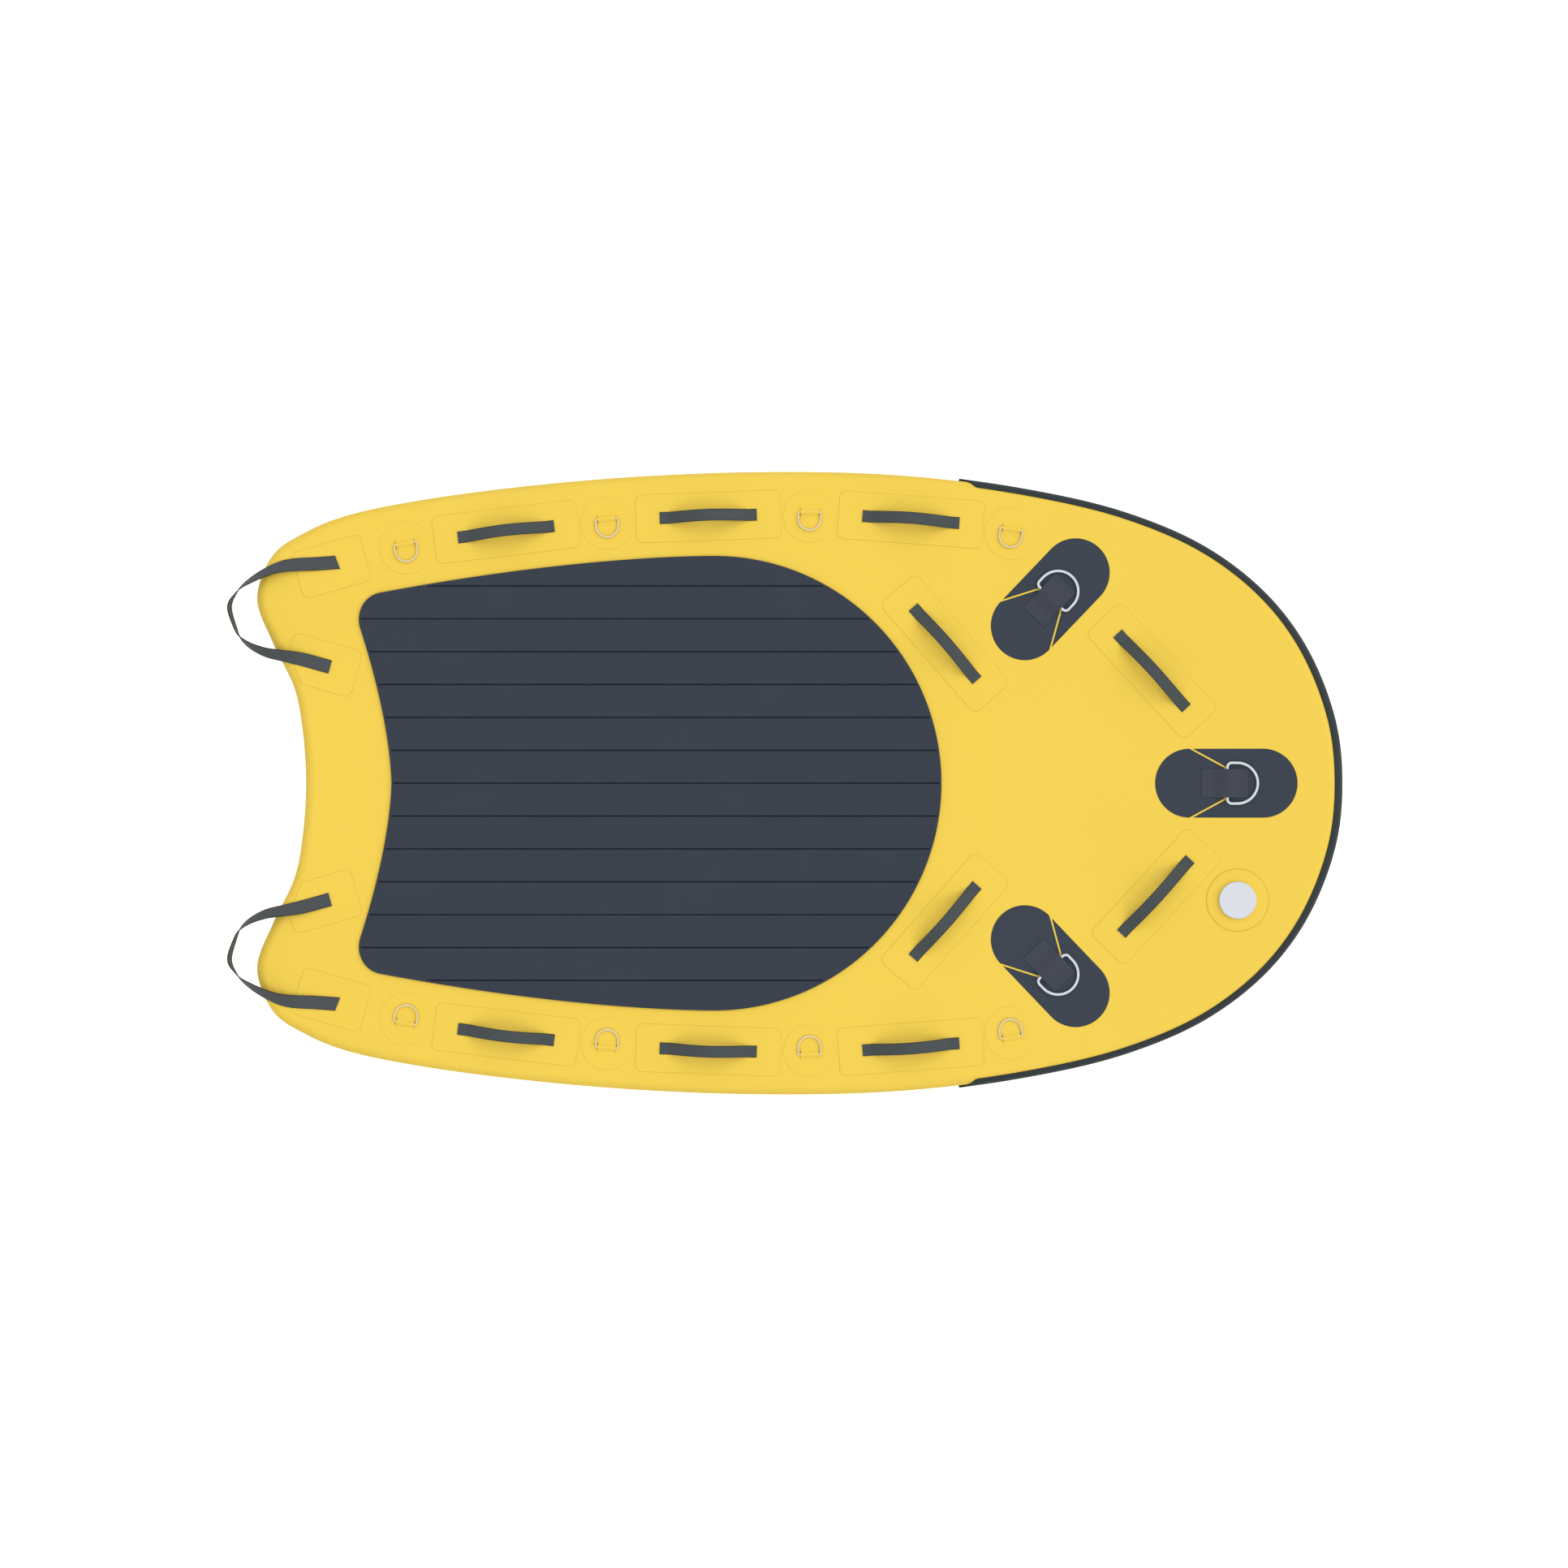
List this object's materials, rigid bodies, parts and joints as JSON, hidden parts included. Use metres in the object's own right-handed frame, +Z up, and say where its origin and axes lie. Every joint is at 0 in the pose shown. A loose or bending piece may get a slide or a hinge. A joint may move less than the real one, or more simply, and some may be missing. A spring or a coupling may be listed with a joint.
{
  "type": "inflatable rescue sled",
  "caption": "Drop-stitch inflatable sled with a rounded rockered bow, notched stern, grooved deck pad, webbing handles, D-rings, towing rings, stern loops and a capped valve.",
  "frame": {"origin": "on the floor under the middle of the overall length, from the bow strake to the stern loops", "axes": "+X to the bow, +Y to port, +Z up, with the underside of the flat hull at z = 0"},
  "size_m": [2.3451, 1.3206, 0.2075],
  "materials": {
    "deck_fabric": "satin coated fabric",
    "side_fabric": "satin coated fabric",
    "core_yarn": "woven polyester yarn",
    "pad_foam": "embossed matte foam",
    "strake_rubber": "matte rubber",
    "webbing": "woven polyester webbing",
    "tow_fabric": "satin coated fabric",
    "steel": "polished stainless steel",
    "cap_plastic": "satin moulded plastic",
    "valve_plastic": "satin moulded plastic",
    "seal_rubber": "matte rubber"
  },
  "bodies": {
    "hull": {"bottom_skin": "deck_fabric", "bow_strake": "strake_rubber", "deck_pad": "pad_foam", "deck_skin": "deck_fabric", "drop_stitch_core": "core_yarn", "grab_handle_port_1": "webbing", "grab_handle_port_2": "webbing", "grab_handle_port_3": "webbing", "grab_handle_port_inner_aft": "webbing", "grab_handle_port_inner_fore": "webbing", "grab_handle_starboard_1": "webbing", "grab_handle_starboard_2": "webbing", "grab_handle_starboard_3": "webbing", "grab_handle_starboard_inner_aft": "webbing", "grab_handle_starboard_inner_fore": "webbing", "handle_patch_port_1": "deck_fabric", "handle_patch_port_2": "deck_fabric", "handle_patch_port_3": "deck_fabric", "handle_patch_port_inner_aft": "deck_fabric", "handle_patch_port_inner_fore": "deck_fabric", "handle_patch_starboard_1": "deck_fabric", "handle_patch_starboard_2": "deck_fabric", "handle_patch_starboard_3": "deck_fabric", "handle_patch_starboard_inner_aft": "deck_fabric", "handle_patch_starboard_inner_fore": "deck_fabric", "ring_patch_port_1": "deck_fabric", "ring_patch_port_2": "deck_fabric", "ring_patch_port_3": "deck_fabric", "ring_patch_port_4": "deck_fabric", "ring_patch_starboard_1": "deck_fabric", "ring_patch_starboard_2": "deck_fabric", "ring_patch_starboard_3": "deck_fabric", "ring_patch_starboard_4": "deck_fabric", "side_wall": "side_fabric", "stern_loop_patch_port_inner": "deck_fabric", "stern_loop_patch_port_outer": "deck_fabric", "stern_loop_patch_starboard_inner": "deck_fabric", "stern_loop_patch_starboard_outer": "deck_fabric", "stern_loop_port": "webbing", "stern_loop_starboard": "webbing", "tow_patch_centre": "tow_fabric", "tow_patch_port": "tow_fabric", "tow_patch_starboard": "tow_fabric", "valve_body": "valve_plastic", "valve_patch": "deck_fabric", "valve_spring": "steel"},
    "deck_ring_port_1": {"deck_ring_port_1": "steel"},
    "deck_ring_port_2": {"deck_ring_port_2": "steel"},
    "deck_ring_port_3": {"deck_ring_port_3": "steel"},
    "deck_ring_port_4": {"deck_ring_port_4": "steel"},
    "deck_ring_starboard_1": {"deck_ring_starboard_1": "steel"},
    "deck_ring_starboard_2": {"deck_ring_starboard_2": "steel"},
    "deck_ring_starboard_3": {"deck_ring_starboard_3": "steel"},
    "deck_ring_starboard_4": {"deck_ring_starboard_4": "steel"},
    "tow_ring_centre": {"tow_ring_centre": "steel"},
    "tow_ring_port": {"tow_ring_port": "steel"},
    "tow_ring_starboard": {"tow_ring_starboard": "steel"},
    "valve_cap_seal": {"valve_cap_seal": "seal_rubber"},
    "valve_cap": {"valve_cap": "cap_plastic"},
    "valve_plunger": {"valve_plunger": "cap_plastic"}
  },
  "joints": [
    {"name": "deck_ring_port_1_swing", "type": "hinge", "parent": "hull", "child": "deck_ring_port_1", "pos_m": [-0.80324, 0.50346, 0.1545], "axis": [-0.9841, -0.1775, 0], "range_deg": [0, 178]},
    {"name": "deck_ring_port_2_swing", "type": "hinge", "parent": "hull", "child": "deck_ring_port_2", "pos_m": [-0.37992, 0.55511, 0.1545], "axis": [-0.997, -0.0779, 0], "range_deg": [0, 178]},
    {"name": "deck_ring_port_3_swing", "type": "hinge", "parent": "hull", "child": "deck_ring_port_3", "pos_m": [0.04625, 0.56936, 0.1545], "axis": [-1, 0.0071, 0], "range_deg": [0, 178]},
    {"name": "deck_ring_port_4_swing", "type": "hinge", "parent": "hull", "child": "deck_ring_port_4", "pos_m": [0.47034, 0.53342, 0.1549], "axis": [-0.9882, 0.1526, -0.0105], "range_deg": [0, 178]},
    {"name": "deck_ring_starboard_1_swing", "type": "hinge", "parent": "hull", "child": "deck_ring_starboard_1", "pos_m": [-0.80324, -0.50346, 0.1545], "axis": [0.9841, -0.1775, 0], "range_deg": [0, 178]},
    {"name": "deck_ring_starboard_2_swing", "type": "hinge", "parent": "hull", "child": "deck_ring_starboard_2", "pos_m": [-0.37992, -0.55511, 0.1545], "axis": [0.997, -0.0779, 0], "range_deg": [0, 178]},
    {"name": "deck_ring_starboard_3_swing", "type": "hinge", "parent": "hull", "child": "deck_ring_starboard_3", "pos_m": [0.04625, -0.56936, 0.1545], "axis": [1, 0.0071, 0], "range_deg": [0, 178]},
    {"name": "deck_ring_starboard_4_swing", "type": "hinge", "parent": "hull", "child": "deck_ring_starboard_4", "pos_m": [0.47034, -0.53342, 0.1549], "axis": [0.9882, 0.1526, 0.0105], "range_deg": [0, 178]},
    {"name": "tow_ring_centre_swing", "type": "hinge", "parent": "hull", "child": "tow_ring_centre", "pos_m": [0.92024, 0, 0.17644], "axis": [0, -1, 0], "range_deg": [0, 178]},
    {"name": "tow_ring_port_swing", "type": "hinge", "parent": "hull", "child": "tow_ring_port", "pos_m": [0.55296, 0.38803, 0.15735], "axis": [0.7191, -0.6947, 0.0171], "range_deg": [0, 178]},
    {"name": "tow_ring_starboard_swing", "type": "hinge", "parent": "hull", "child": "tow_ring_starboard", "pos_m": [0.55296, -0.38605, 0.15735], "axis": [-0.7191, -0.6947, -0.0171], "range_deg": [0, 178]},
    {"name": "valve_cap_lift", "type": "slide", "parent": "hull", "child": "valve_cap_seal", "axis": [-0.0833, 0, 0.9965], "range_m": [0, 0.05]},
    {"name": "valve_cap_turn", "type": "hinge", "parent": "valve_cap_seal", "child": "valve_cap", "pos_m": [0.94187, -0.24486, 0.17269], "axis": [-0.0833, 0, 0.9965], "range_deg": [0, 90]},
    {"name": "valve_plunger_push", "type": "slide", "parent": "hull", "child": "valve_plunger", "axis": [0.0833, 0, -0.9965], "range_m": [0, 0.005], "stiffness_N_per_m": 400, "springref_m": -0.002, "deforming": ["valve_spring"]}
  ]
}
